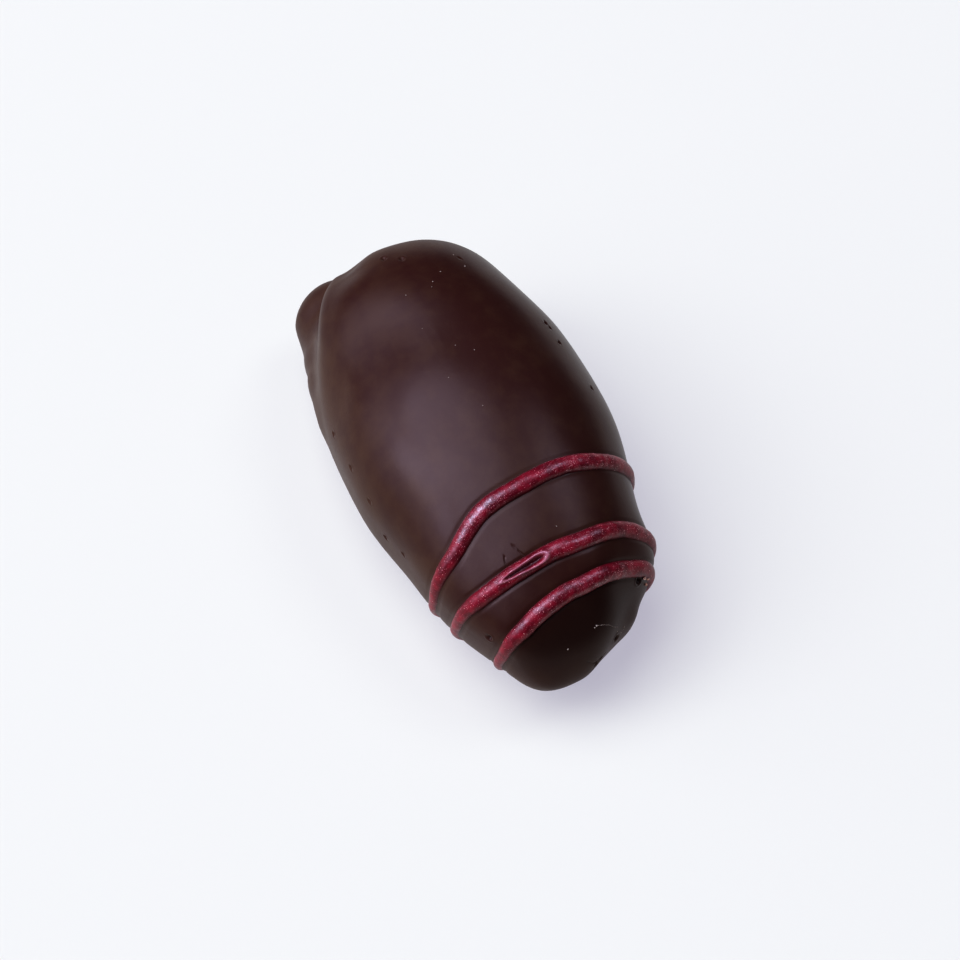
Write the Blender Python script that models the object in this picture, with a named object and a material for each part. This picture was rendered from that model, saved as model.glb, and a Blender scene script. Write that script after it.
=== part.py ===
"""A date coated in dark chocolate, with three piped lines across its tail, as one solid.

The head is the blunt end, at -X, with a knob of folded fruit at its near corner.
The tail is the tapered end, at +X. +Y is the far side, +Z is up, and the flat
base lies on Z = 0. Sizes are in millimetres and become metres when a mesh is made.
"""

import math

import bmesh
import bpy
import numpy as np
from mathutils import Vector

MM = 0.001

# The coat's plan and crown, at stations evenly spaced along the date.
STATIONS = (-24.0, -16.0, -8.0, 0.0, 8.0, 16.0, 24.0)
NEAR_SIDE = (11.7, 11.75, 12.8, 12.7, 11.9, 12.15, 11.45)
FAR_SIDE = (10.25, 10.6, 12.5, 13.2, 13.1, 12.3, 7.2)
CROWN = (9.5, 10.2, 10.4, 10.2, 9.9, 9.2, 7.6)

# How far the ends reach from the middle, and how blunt each one is: 2 is round.
HEAD_REACH = 24.35
TAIL_REACH = 24.95
HEAD_BLUNTNESS = 5.4
TAIL_BLUNTNESS = 1.75

# The cross-section: its widest height, its depth below that, and its fullness.
WIDEST_HEIGHT = 9.4
BELLY_DEPTH = 11.2
SIDE_FULLNESS = 2.1
CROWN_FULLNESS = 2.1
BELLY_FULLNESS = 2.5
BASE_ROUNDING = 0.6
COAT_SCALE = 11.0

# The fold: a roll of fruit that starts as a knob beyond the head's near corner and
# sinks into the near side. Each place is the middle of a ball: x, y, z and radius.
FOLD = (
    (-21.05, -6.1, 6.55, 4.9),
    (-17.5, -7.45, 6.7, 3.85),
    (-15.0, -8.95, 6.85, 2.7),
    (-11.2, -9.4, 6.9, 1.9),
)
FOLD_STARTS = -24.0
FOLD_ENDS = -12.0
FOLD_BLEND_AT_START = 0.9
FOLD_BLEND_AT_END = 3.0

# The steep face of the tail, below the last piped line.
TAIL_FACE_POINT = (21.0, 0.0, 15.2)
TAIL_FACE_NORMAL = (0.84, 0.0, 0.54)
TAIL_FACE_BLEND = 2.5

# Soft swells and dents, each along a curve through a few places on the coat:
# its places, its radius, and its height at either end, which is below 0 for a dent.
RELIEF_SAMPLES = 40
RELIEFS = {
    "far_bulge": (((16.9, 9.5, 8.5), (17.9, 9.0, 7.0)), 2.6, 1.8, 1.8),
    "tail_tip": (((24.0, -5.4, 4.0), (24.0, -4.6, 4.5)), 2.6, 0.55, 0.55),
    "tail_knuckle": (((21.6, 7.6, 7.0), (21.8, 7.1, 5.5)), 1.2, 0.7, 0.7),
    "far_tail": (((21.0, 5.5, 6.0), (21.5, 5.0, 4.0)), 2.0, 0.75, 0.75),
    "far_tail_hollow": (((19.45, 8.0, 4.5), (19.95, 7.5, 3.0)), 2.2, -0.5, -0.5),
    "head_bump": (((-20.7, -2.8, 15.2), (-20.1, -1.9, 15.6)), 1.3, 0.4, 0.4),
    "head_hollow": (((-21.2, -4.35, 14.6), (-20.0, -4.95, 15.4)), 1.3, -0.5, -0.3),
    "ridge": (((-21.7, -6.4, 13.0), (-19.1, -8.3, 13.9), (-16.2, -9.8, 13.8)), 0.8, 0.5, 0.15),
    "flank": (((-21.5, -8.4, 11.0), (-18.2, -10.6, 11.2), (-14.6, -12.0, 9.8)), 1.5, -0.65, -0.25),
    "saddle": (((-9.4, -10.4, 15.0), (-8.0, -7.4, 17.8), (-7.6, -1.0, 19.6)), 2.8, -0.65, -0.3),
}

# The piped lines. Each one's places along the date are read at turns about the
# date's axis, from low on the near side, over the crown, to low on the far side.
# So are its widths, as shares of the widest, and how deep its middle lies in the coat.
LINE_TURNS = (-60.0, -30.0, 0.0, 30.0, 60.0, 90.0, 120.0, 150.0, 180.0, 210.0, 240.0)
LINE_WIDTHS = (0.55, 0.6, 0.7, 0.92, 1.0, 1.0, 1.0, 1.0, 0.95, 0.8, 0.7)
LINE_SINKS = (0.2, 0.2, 0.2, 0.2, 0.15, 0.15, 0.2, 0.3, 0.35, 0.35, 0.35)
LINE_TURN_STEP = 4.5
LINE_RADIUS = 0.87
LINE_FLATNESS = 0.78
LINE_SIDES = 8
LINE_FOOT = 0.9
LINE_END = 1.4
LINE_TIP = 0.25
LINE_UNEVENNESS = 0.05
LINE_WAVE = 1.7
NO_BUBBLE = (0.0, 0.0)
BURST_BUBBLE = (48.0, 88.0)
BUBBLE_DEPTH = 0.35
LINES = {
    "line_middle": (
        (10.8, 11.8, 12.9, 12.4, 10.4, 9.6, 8.9, 8.7, 8.3, 8.0, 8.0),
        NO_BUBBLE,
    ),
    "line_second": (
        (14.4, 15.0, 16.2, 16.8, 16.5, 16.1, 15.9, 15.2, 15.3, 15.6, 15.8),
        BURST_BUBBLE,
    ),
    "line_tail": (
        (18.5, 20.0, 20.9, 20.9, 20.2, 19.6, 19.3, 18.6, 18.0, 17.5, 17.2),
        NO_BUBBLE,
    ),
}

# The mesh that the form is read onto.
SHELL_CUTS = 24
SHELL_STRETCH = (25.0, 13.0, 10.0)
SEARCH_FAR = 34.0
SEARCH_STEPS = 60
HALVINGS = 16
FLAT_SNAP = 0.02

CHOCOLATE_COLOUR = (0.035, 0.014, 0.010, 1.0)
CHOCOLATE_ROUGHNESS = 0.35


def clear_scene():
    for obj in list(bpy.data.objects):
        bpy.data.objects.remove(obj, do_unlink=True)


def chocolate():
    material = bpy.data.materials.new("dark_chocolate")
    material.use_nodes = True
    shader = material.node_tree.nodes["Principled BSDF"]
    shader.inputs["Base Color"].default_value = CHOCOLATE_COLOUR
    shader.inputs["Roughness"].default_value = CHOCOLATE_ROUGHNESS
    shader.inputs["Metallic"].default_value = 0.0
    return material


def through(stations, values, x):
    """A smooth curve through values at evenly spaced stations, read at x."""
    values = np.asarray(values, float)
    step = stations[1] - stations[0]
    place = np.clip((x - stations[0]) / step, 0.0, len(values) - 1.000001)
    index = place.astype(int)
    part = place - index
    before_first = 2 * values[0] - values[1]
    after_last = 2 * values[-1] - values[-2]
    ends = np.concatenate([[before_first], values, [after_last]])
    a, b, c, d = (ends[index + k] for k in range(4))
    bend = 2 * a - 5 * b + 4 * c - d
    twist = 3 * (b - c) + d - a
    return b + 0.5 * part * (c - a + part * (bend + part * twist))


def blend_min(a, b, width):
    """The smaller of a and b, with the corner between them rounded."""
    share = np.clip(0.5 + 0.5 * (b - a) / width, 0.0, 1.0)
    return b + (a - b) * share - width * share * (1 - share)


def blend_max(a, b, width):
    return -blend_min(-a, -b, width)


def coat(points):
    """The plain coated date: below 0 inside it, and about millimetres outside."""
    x, y, z = points.T
    along = np.where(x < 0, -x / HEAD_REACH, x / TAIL_REACH)
    bluntness = np.where(x < 0, HEAD_BLUNTNESS, TAIL_BLUNTNESS)
    near = through(STATIONS, NEAR_SIDE, x)
    far = through(STATIONS, FAR_SIDE, x)
    across = np.abs(y) / np.where(y < 0, near, far)
    rise = z - WIDEST_HEIGHT
    crown = through(STATIONS, CROWN, x)
    up = np.abs(rise) / np.where(rise > 0, crown, BELLY_DEPTH)
    fullness = np.where(rise > 0, CROWN_FULLNESS, BELLY_FULLNESS)
    total = along**bluntness + across**SIDE_FULLNESS + up**fullness
    return (np.sqrt(total) - 1) * COAT_SCALE


def fold(points):
    """The distance to the fold: a chain of balls, each joined to the next by a cone."""
    nearest = np.full(len(points), np.inf)
    for first, second in zip(FOLD, FOLD[1:]):
        start = np.array(first[:3])
        run = np.array(second[:3]) - start
        share = np.clip((points - start) @ run / (run @ run), 0.0, 1.0)
        distance = np.linalg.norm(points - start - share[:, None] * run, axis=1)
        radius = first[3] + (second[3] - first[3]) * share
        nearest = np.minimum(nearest, distance - radius)
    return nearest


def relief(points, places, radius, first, last):
    """The height of one swell at each point, highest along the curve of its places."""
    places = np.array(places)
    stations = np.arange(len(places))
    run = np.linspace(0.0, len(places) - 1.0, RELIEF_SAMPLES)
    curve = np.stack([through(stations, column, run) for column in places.T], axis=1)
    heights = np.linspace(first, last, RELIEF_SAMPLES)
    height = np.zeros(len(points))
    reach = 4 * radius
    low = curve.min(axis=0) - reach
    high = curve.max(axis=0) + reach
    close = np.all((points > low) & (points < high), axis=1)
    squares = ((points[close, None] - curve) ** 2).sum(axis=2)
    nearest = squares.argmin(axis=1)
    fall = np.exp(-squares.min(axis=1) / (2 * radius**2))
    height[close] = heights[nearest] * fall
    return height


def field(points):
    """The whole form without its piped lines: below 0 inside it."""
    value = coat(points)
    normal = np.array(TAIL_FACE_NORMAL) / np.linalg.norm(TAIL_FACE_NORMAL)
    face = (points - np.array(TAIL_FACE_POINT)) @ normal
    value = blend_max(value, face, TAIL_FACE_BLEND)
    sunk = np.clip((points[:, 0] - FOLD_STARTS) / (FOLD_ENDS - FOLD_STARTS), 0.0, 1.0)
    blend = FOLD_BLEND_AT_START + (FOLD_BLEND_AT_END - FOLD_BLEND_AT_START) * sunk
    value = blend_min(value, fold(points), blend)
    for places, radius, first, last in RELIEFS.values():
        value = value - relief(points, places, radius, first, last)
    return blend_max(value, -points[:, 2], BASE_ROUNDING)


def surface_along(origins, directions):
    """The outermost point of the form on each ray."""
    inner = np.zeros(len(directions))
    outer = np.full(len(directions), SEARCH_FAR)
    open_rays = np.ones(len(directions), bool)
    for reach in np.linspace(SEARCH_FAR, 0.0, SEARCH_STEPS):
        inside = field(origins + directions * reach) < 0
        inner[open_rays & inside] = reach
        open_rays &= ~inside
        outer[open_rays] = reach
    for _ in range(HALVINGS):
        middle = (inner + outer) / 2
        inside = field(origins + directions * middle[:, None]) < 0
        inner = np.where(inside, middle, inner)
        outer = np.where(inside, outer, middle)
    return origins + directions * inner[:, None]


def shell_mesh(name):
    """The coated date without its lines, from a cube's faces spread over its form."""
    form = bmesh.new()
    bmesh.ops.create_cube(form, size=2.0)
    bmesh.ops.subdivide_edges(form, edges=form.edges[:], cuts=SHELL_CUTS, use_grid_fill=True)
    cube = np.array([vertex.co[:] for vertex in form.verts])
    directions = np.tan(cube * math.pi / 4) * np.array(SHELL_STRETCH)
    directions /= np.linalg.norm(directions, axis=1)[:, None]
    points = surface_along(np.array((0.0, 0.0, WIDEST_HEIGHT)), directions)
    points[points[:, 2] < FLAT_SNAP, 2] = 0.0
    for vertex, point in zip(form.verts, points):
        vertex.co = point * MM
    bmesh.ops.triangulate(form, faces=form.faces[:])
    bmesh.ops.recalc_face_normals(form, faces=form.faces[:])
    mesh = bpy.data.meshes.new(name)
    form.to_mesh(mesh)
    form.free()
    return mesh


def line_path(crossings):
    """A piped line's points on the coat, with their outward directions and turns."""
    turns = np.arange(LINE_TURNS[0], LINE_TURNS[-1] + 0.1, LINE_TURN_STEP)
    along = through(LINE_TURNS, crossings, turns)
    angle = np.radians(turns)
    outward = np.stack([0 * angle, -np.cos(angle), np.sin(angle)], axis=1)
    origins = np.stack([along, 0 * along, 0 * along + WIDEST_HEIGHT], axis=1)
    points = surface_along(origins, outward)
    above_foot = points[:, 2] > LINE_FOOT
    return points[above_foot], outward[above_foot], turns[above_foot]


def line_radii(points, turns, phase):
    """The radius at each point: narrow on the near side, and rounded off at both ends."""
    steps = np.linalg.norm(np.diff(points, axis=0), axis=1)
    length = np.concatenate([[0.0], np.cumsum(steps)])
    to_end = np.minimum(length, length[-1] - length) + LINE_TIP
    end = np.clip(1 - to_end / LINE_END, 0, 1)
    wave = 1 + LINE_UNEVENNESS * np.sin(length / LINE_WAVE + phase)
    width = through(LINE_TURNS, LINE_WIDTHS, turns)
    return LINE_RADIUS * width * wave * np.sqrt(1 - end**2)


def line_mesh(name, crossings, phase, bubble):
    """A piped line as a closed tube, with a burst bubble along part of its top."""
    points, outward, turns = line_path(crossings)
    radii = line_radii(points, turns, phase)
    sinks = through(LINE_TURNS, LINE_SINKS, turns)
    tangents = np.gradient(points, axis=0)
    form = bmesh.new()
    rings = []
    places = zip(points, outward, tangents, radii, sinks, turns)
    for point, up, tangent, radius, sink, turn in places:
        run = Vector(tangent).normalized()
        side = run.cross(Vector(up)).normalized()
        top = side.cross(run)
        centre = Vector(point) - top * sink
        ring = []
        for index in range(LINE_SIDES):
            angle = 2 * math.pi * index / LINE_SIDES
            rise = radius * LINE_FLATNESS * math.cos(angle)
            if index == 0 and bubble[0] < turn < bubble[1]:
                rise -= BUBBLE_DEPTH
            offset = top * rise + side * radius * math.sin(angle)
            ring.append(form.verts.new((centre + offset) * MM))
        rings.append(ring)
    for before, after in zip(rings, rings[1:]):
        for index in range(LINE_SIDES):
            following = (index + 1) % LINE_SIDES
            form.faces.new((before[index], before[following], after[following], after[index]))
    form.faces.new(rings[0])
    form.faces.new(rings[-1])
    bmesh.ops.triangulate(form, faces=form.faces[:])
    bmesh.ops.recalc_face_normals(form, faces=form.faces[:])
    mesh = bpy.data.meshes.new(name)
    form.to_mesh(mesh)
    form.free()
    return mesh


def join_lines(coated, lines):
    """Fuses the piped lines onto the coat with one union, then removes them."""
    union = coated.modifiers.new("join_lines", "BOOLEAN")
    union.operation = "UNION"
    union.operand_type = "COLLECTION"
    union.collection = lines
    union.solver = "EXACT"
    bpy.context.view_layer.update()
    evaluated = coated.evaluated_get(bpy.context.evaluated_depsgraph_get())
    joined = bpy.data.meshes.new_from_object(evaluated)
    coated.modifiers.remove(union)
    coated.data = joined
    for obj in list(lines.objects):
        bpy.data.objects.remove(obj, do_unlink=True)
    bpy.data.collections.remove(lines)


def stand_on_origin(mesh):
    """Moves the mesh so that the middle of its base is the origin."""
    count = len(mesh.vertices)
    points = np.empty(count * 3)
    mesh.vertices.foreach_get("co", points)
    points = points.reshape(count, 3)
    low = points.min(axis=0)
    high = points.max(axis=0)
    points -= ((low[0] + high[0]) / 2, (low[1] + high[1]) / 2, low[2])
    mesh.vertices.foreach_set("co", points.ravel())
    mesh.update()


def main():
    clear_scene()
    coated = bpy.data.objects.new("coated_date", shell_mesh("coated_date"))
    bpy.context.scene.collection.objects.link(coated)
    coated.data.materials.append(chocolate())
    lines = bpy.data.collections.new("piped_lines")
    bpy.context.scene.collection.children.link(lines)
    for phase, (name, (crossings, bubble)) in enumerate(LINES.items()):
        mesh = line_mesh(name, crossings, phase, bubble)
        mesh.materials.append(coated.data.materials[0])
        lines.objects.link(bpy.data.objects.new(name, mesh))
    join_lines(coated, lines)
    stand_on_origin(coated.data)
    coated.data.shade_smooth()


if __name__ == "__main__":
    main()
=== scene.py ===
"""The looks of a date coated in dark chocolate, with three piped lines of pearly red icing.

The head is the blunt end, at -X, with a knob of folded fruit at its near corner. The
tail is the tapered end, at +X. +Y is the far side, +Z is up, and the base lies on Z = 0.
The form is worked out in millimetres from the same sizes as the solid's, then fitted to
the solid's box in metres. A place on the coat is given by its turn about the date's axis
(0 on the near side, 90 on the crown, 180 on the far side) and by its place along X.
"""

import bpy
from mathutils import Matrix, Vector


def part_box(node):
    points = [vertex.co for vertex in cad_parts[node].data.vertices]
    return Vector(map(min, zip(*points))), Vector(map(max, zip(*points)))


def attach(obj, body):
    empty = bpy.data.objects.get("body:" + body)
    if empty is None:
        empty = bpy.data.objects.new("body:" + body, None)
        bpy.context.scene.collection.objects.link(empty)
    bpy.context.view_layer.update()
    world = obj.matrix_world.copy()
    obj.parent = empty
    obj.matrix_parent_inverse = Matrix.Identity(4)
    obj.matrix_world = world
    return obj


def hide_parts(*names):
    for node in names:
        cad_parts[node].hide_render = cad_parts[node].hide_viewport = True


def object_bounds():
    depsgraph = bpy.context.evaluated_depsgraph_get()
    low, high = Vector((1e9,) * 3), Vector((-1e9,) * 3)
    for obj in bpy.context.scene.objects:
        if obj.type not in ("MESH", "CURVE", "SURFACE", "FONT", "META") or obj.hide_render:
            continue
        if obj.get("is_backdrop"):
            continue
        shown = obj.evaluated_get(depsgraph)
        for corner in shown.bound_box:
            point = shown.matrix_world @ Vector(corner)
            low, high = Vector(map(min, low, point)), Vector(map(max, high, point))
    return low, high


bl_info = {
    "name": "Chocolate-covered date",
    "version": (1, 0, 0),
    "blender": (4, 5, 0),
    "location": "3D View > Sidebar > Date",
    "description": "Coats, pipes and dusts a chocolate-covered date around its solid",
    "category": "Object",
}

import math

import bmesh
import bpy
import numpy as np
from mathutils import Color, Vector

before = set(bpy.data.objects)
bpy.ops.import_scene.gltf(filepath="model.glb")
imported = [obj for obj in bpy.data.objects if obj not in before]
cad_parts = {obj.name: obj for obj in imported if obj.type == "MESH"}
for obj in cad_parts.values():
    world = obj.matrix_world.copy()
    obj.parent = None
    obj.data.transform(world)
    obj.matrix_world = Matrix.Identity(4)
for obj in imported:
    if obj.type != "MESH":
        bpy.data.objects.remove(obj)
CAD_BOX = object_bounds()
NODE = "coated_date"
BODY = "root"
NODE_LOW, NODE_HIGH = (np.array(corner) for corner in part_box(NODE))
MM = 0.001

# The coat's plan and crown, at stations evenly spaced along the date.
STATIONS = (-24.0, -16.0, -8.0, 0.0, 8.0, 16.0, 24.0)
NEAR_SIDE = (11.7, 11.75, 12.8, 12.7, 11.9, 12.15, 11.45)
FAR_SIDE = (10.25, 10.6, 12.5, 13.2, 13.1, 12.3, 7.2)
CROWN = (9.5, 10.2, 10.4, 10.2, 9.9, 9.2, 7.6)

# How far the ends reach from the middle, and how blunt each one is: 2 is round.
HEAD_REACH = 24.35
TAIL_REACH = 24.95
HEAD_BLUNTNESS = 5.4
TAIL_BLUNTNESS = 1.75

# The cross-section: its widest height, its depth below that, how full it is, where 2 is
# round, and how rounded its edge with the base is. The scale turns shares to millimetres.
WIDEST_HEIGHT = 9.4
BELLY_DEPTH = 11.2
SIDE_FULLNESS = 2.1
CROWN_FULLNESS = 2.1
BELLY_FULLNESS = 2.5
BASE_ROUNDING = 0.6
COAT_SCALE = 11.0

# The fold: a roll of fruit that starts as a knob beyond the head's near corner and
# sinks into the near side. Each place is the middle of a ball: x, y, z and radius.
FOLD = (
    (-21.05, -6.1, 6.55, 4.9),
    (-17.5, -7.45, 6.7, 3.85),
    (-15.0, -8.95, 6.85, 2.7),
    (-11.2, -9.4, 6.9, 1.9),
)
FOLD_STARTS = -24.0
FOLD_ENDS = -12.0
FOLD_BLEND_AT_START = 0.9
FOLD_BLEND_AT_END = 3.0

# The steep face of the tail, below the last piped line.
TAIL_FACE_POINT = (21.0, 0.0, 15.2)
TAIL_FACE_NORMAL = (0.84, 0.0, 0.54)
TAIL_FACE_BLEND = 2.5

# Soft swells and dents, each along a curve through a few places on the coat:
# its places, its radius, and its height at either end, which is below 0 for a dent.
RELIEF_SAMPLES = 40
RELIEFS = {
    "far_bulge": (((16.9, 9.5, 8.5), (17.9, 9.0, 7.0)), 2.6, 1.8, 1.8),
    "tail_tip": (((24.0, -5.4, 4.0), (24.0, -4.6, 4.5)), 2.6, 0.55, 0.55),
    "tail_knuckle": (((21.6, 7.6, 7.0), (21.8, 7.1, 5.5)), 1.2, 0.7, 0.7),
    "far_tail": (((21.0, 5.5, 6.0), (21.5, 5.0, 4.0)), 2.0, 0.75, 0.75),
    "far_tail_hollow": (((19.45, 8.0, 4.5), (19.95, 7.5, 3.0)), 2.2, -0.5, -0.5),
    "head_bump": (((-20.7, -2.8, 15.2), (-20.1, -1.9, 15.6)), 1.3, 0.4, 0.4),
    "head_hollow": (((-21.2, -4.35, 14.6), (-20.0, -4.95, 15.4)), 1.3, -0.5, -0.3),
    "ridge": (((-21.7, -6.4, 13.0), (-19.1, -8.3, 13.9), (-16.2, -9.8, 13.8)), 0.8, 0.5, 0.15),
    "flank": (((-21.5, -8.4, 11.0), (-18.2, -10.6, 11.2), (-14.6, -12.0, 9.8)), 1.5, -0.65, -0.25),
    "saddle": (((-9.4, -10.4, 15.0), (-8.0, -7.4, 17.8), (-7.6, -1.0, 19.6)), 2.8, -0.65, -0.3),
}

# Shallower ones, which only the finished coat has: place, radius and height.
SHALLOW_RELIEFS = (
    ((9.5, -1.2, 18.0), 7.5, -0.48),
    ((-11.6, -6.1, 18.1), 2.8, -0.60),
    ((-12.0, -1.0, 19.5), 4.0, -0.13),
    ((0.4, -4.7, 18.9), 2.8, -0.22),
    ((13.3, -3.8, 16.5), 3.4, -0.32),
    ((-1.3, 5.6, 18.8), 4.0, 0.20),
    ((18.2, -1.2, 15.2), 2.0, -0.30),
    ((17.7, 5.0, 14.4), 1.8, 0.14),
    ((20.9, 1.4, 13.2), 2.0, -0.25),
    ((21.7, 4.8, 8.7), 2.0, 0.28),
)

# The mesh that the form is read onto, how far from a line or a mark it is made finer, and
# how near to the base its points are made flat.
SHELL_CUTS = 79
SHELL_STRETCH = (25.0, 13.0, 10.0)
FINE_BESIDE_LINES = 1.7
FINE_BESIDE_MARKS = 0.7
FLAT_SNAP = 0.02

# How the form's surface is looked for along a ray, and how its slope is measured.
SEARCH_FAR = 34.0
SEARCH_STEPS = 60
HALVINGS = 16
SLOPE_STEP = 0.02

# How far the coat stays inside the solid's box before its ripples are added.
BOX_MARGIN = 0.05

# How near two points of a tube's closed end are when they are made one, in metres.
MERGE_DISTANCE = 0.002 * MM

# The piped lines. Each one's places along the date are read at turns about its axis. So
# are its widths, as shares of the widest, and how deep its middle lies in the coat.
LINE_TURNS = (-60.0, -30.0, 0.0, 30.0, 60.0, 90.0, 120.0, 150.0, 180.0, 210.0, 240.0)
LINE_WIDTHS = (0.55, 0.6, 0.7, 0.92, 1.0, 1.0, 1.0, 1.0, 0.95, 0.8, 0.7)
LINE_SINKS = (0.2, 0.2, 0.2, 0.2, 0.15, 0.15, 0.2, 0.3, 0.35, 0.35, 0.35)
LINES = {
    "line_middle": (10.8, 11.8, 12.9, 12.4, 10.4, 9.6, 8.9, 8.7, 8.3, 8.0, 8.0),
    "line_second": (14.4, 15.0, 16.2, 16.8, 16.5, 16.1, 15.9, 15.2, 15.3, 15.6, 15.8),
    "line_tail": (18.5, 20.0, 20.9, 20.9, 20.2, 19.6, 19.3, 18.6, 18.0, 17.5, 17.2),
}

# How finely a line is read along its path and round its section, how high above the base
# it stops, how far from there it starts to close, and how thin it may get.
LINE_TURN_STEP = 0.75
LINE_RING = 56
LINE_FOOT = 0.9
LINE_END = 1.4
LEAST_TAPER = 0.001

# How thickly the pearl dust lies along each line, at the same turns.
DUSTING = {
    "line_middle": (0.0, 0.05, 0.08, 0.20, 1.0, 0.18, 0.9, 0.30, 0.08, 0.0, 0.0),
    "line_second": (0.0, 0.05, 0.08, 0.12, 0.5, 0.30, 1.0, 0.35, 0.10, 0.0, 0.0),
    "line_tail": (0.0, 0.05, 0.08, 0.20, 0.65, 0.45, 1.0, 0.45, 0.05, 0.0, 0.0),
}

# The bubble that burst along the top of one line: the turns where it starts and ends.
# Places along it run from -1 to 1. The other lines lie beyond it.
BUBBLE_LINE = "line_second"
BUBBLE_TURNS = (47.0, 89.0)
BEYOND_BUBBLE = 2.0

# Marks on the coat, as turn and place along X. Pits, pale specks and crumbs have their
# sizes too. Cracks and the fine scratch are the places that they run through.
PITS = (
    (76, -19.5, 0.34), (86, -18.4, 0.34), (119, -16.7, 0.22), (146, -7.6, 0.28),
    (147, -7.0, 0.24), (147, -5.0, 0.26), (154, 0.3, 0.26), (9, -6.3, 0.28),
    (11, -1.8, 0.26), (10, 2.2, 0.26), (-1, 5.1, 0.30), (3, 7.9, 0.24),
    (200, 22.5, 0.42), (8, 19.4, 0.36), (175, 18.9, 0.42),
    (232, 24.0, 0.30), (220, 23.7, 0.22),
)
CRACKS = (
    ((68, 14.2), (71, 15.1), (76, 16.0)),
    ((59, 14.8), (57, 15.3), (57, 15.9)),
    ((246, 24.2), (239, 24.15), (231, 24.05), (222, 23.75), (212, 23.4)),
    ((243, 24.3), (232, 24.15), (220, 23.8)),
)
SPECKS = (
    (102, -15.0, 0.16), (95, -14.0, 0.14), (47, 23.2, 0.17),
    (118, -15.3, 0.14), (117, -17.3, 0.15), (93, -13.4, 0.12), (78, -13.6, 0.13),
    (78, -9.3, 0.11), (90, -6.1, 0.11), (79, -3.0, 0.10), (89, 1.1, 0.10),
    (98, -4.9, 0.12), (104, 14.1, 0.14), (145, 22.3, 0.22), (143, 22.4, 0.15),
    (201, 21.5, 0.15), (194, 21.8, 0.18), (197, 21.9, 0.12), (204, 21.8, 0.11),
    (190, 22.3, 0.12), (198, 22.1, 0.10), (206, 21.4, 0.10), (208, 21.7, 0.09),
)
SCRATCH = ((145, 22.3), (157, 22.3), (166, 22.3), (176, 22.3), (185, 22.1))
CRUMBS = ((182, 18.4, 0.42), (178, 18.6, 0.34), (185, 18.7, 0.26), (180, 18.1, 0.22))

# How deep a speck's middle lies in the coat, as a share of its size, and how high a
# crumb's middle lies above the coat.
SPECK_SINK = 0.2
CRUMB_RISE = 0.05

# How many points a crack is carved along, how many of a crack's points make the mesh
# finer, and which of a line's points do: one in so many.
CRACK_POINTS = 24
CRACK_GUIDES = 8
LINE_GUIDE_STEP = 3


def through(stations, values, x):
    """A smooth curve through values at evenly spaced stations, read at x."""
    values = np.asarray(values, float)
    step = stations[1] - stations[0]
    just_short_of_last = len(values) - 1.000001
    place = np.clip((x - stations[0]) / step, 0.0, just_short_of_last)
    index = place.astype(int)
    part = place - index
    before_first = 2 * values[0] - values[1]
    after_last = 2 * values[-1] - values[-2]
    ends = np.concatenate([[before_first], values, [after_last]])
    a, b, c, d = (ends[index + k] for k in range(4))
    bend = 2 * a - 5 * b + 4 * c - d
    twist = 3 * (b - c) + d - a
    return b + 0.5 * part * (c - a + part * (bend + part * twist))


def blend_min(a, b, width):
    """The smaller of a and b, with the corner between them rounded."""
    share = np.clip(0.5 + 0.5 * (b - a) / width, 0.0, 1.0)
    return b + (a - b) * share - width * share * (1 - share)


def blend_max(a, b, width):
    return -blend_min(-a, -b, width)


def coat(points):
    """The plain coated date: below 0 inside it, and about millimetres outside."""
    x, y, z = points.T
    along = np.where(x < 0, -x / HEAD_REACH, x / TAIL_REACH)
    bluntness = np.where(x < 0, HEAD_BLUNTNESS, TAIL_BLUNTNESS)
    near = through(STATIONS, NEAR_SIDE, x)
    far = through(STATIONS, FAR_SIDE, x)
    across = np.abs(y) / np.where(y < 0, near, far)
    rise = z - WIDEST_HEIGHT
    crown = through(STATIONS, CROWN, x)
    up = np.abs(rise) / np.where(rise > 0, crown, BELLY_DEPTH)
    fullness = np.where(rise > 0, CROWN_FULLNESS, BELLY_FULLNESS)
    total = along**bluntness + across**SIDE_FULLNESS + up**fullness
    return (np.sqrt(total) - 1) * COAT_SCALE


def fold(points):
    """The distance to the fold: a chain of balls, each joined to the next by a cone."""
    nearest = np.full(len(points), np.inf)
    for first, second in zip(FOLD, FOLD[1:]):
        start = np.array(first[:3])
        run = np.array(second[:3]) - start
        share = np.clip((points - start) @ run / (run @ run), 0.0, 1.0)
        distance = np.linalg.norm(points - start - share[:, None] * run, axis=1)
        radius = first[3] + (second[3] - first[3]) * share
        nearest = np.minimum(nearest, distance - radius)
    return nearest


def relief(points, places, radius, first, last):
    """The height of one swell at each point, highest along the curve of its places."""
    places = np.array(places)
    stations = np.arange(len(places))
    run = np.linspace(0.0, len(places) - 1.0, RELIEF_SAMPLES)
    curve = np.stack([through(stations, column, run) for column in places.T], axis=1)
    heights = np.linspace(first, last, RELIEF_SAMPLES)
    height = np.zeros(len(points))
    reach = 4 * radius
    low = curve.min(axis=0) - reach
    high = curve.max(axis=0) + reach
    close = np.all((points > low) & (points < high), axis=1)
    squares = ((points[close, None] - curve) ** 2).sum(axis=2)
    nearest = squares.argmin(axis=1)
    fall = np.exp(-squares.min(axis=1) / (2 * radius**2))
    height[close] = heights[nearest] * fall
    return height


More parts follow.
